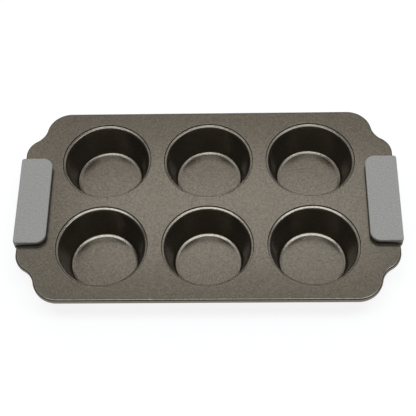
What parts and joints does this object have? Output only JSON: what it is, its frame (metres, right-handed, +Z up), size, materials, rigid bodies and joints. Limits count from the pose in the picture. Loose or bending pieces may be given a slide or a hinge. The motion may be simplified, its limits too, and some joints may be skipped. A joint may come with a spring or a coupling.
{
  "type": "muffin pan",
  "caption": "Pressed steel muffin pan with round tapered cups in a flat deck, a rolled edge and a silicone grip on the wing at each end.",
  "frame": {"origin": "on the table, under the middle of the pan, at the underside of the cup floors", "axes": "+X from the left grip to the right grip, +Y to the back, +Z up out of the cups"},
  "size_m": [0.3002, 0.1738, 0.0333],
  "materials": {
    "pan_coating": "satin non-stick coating with fine metallic flake",
    "wire_steel": "drawn wire",
    "grip_silicone": "matt moulded silicone"
  },
  "bodies": {
    "root": {"pan_body": "pan_coating", "rim_wire": "wire_steel", "grip_left": "grip_silicone", "grip_right": "grip_silicone"}
  },
  "joints": []
}
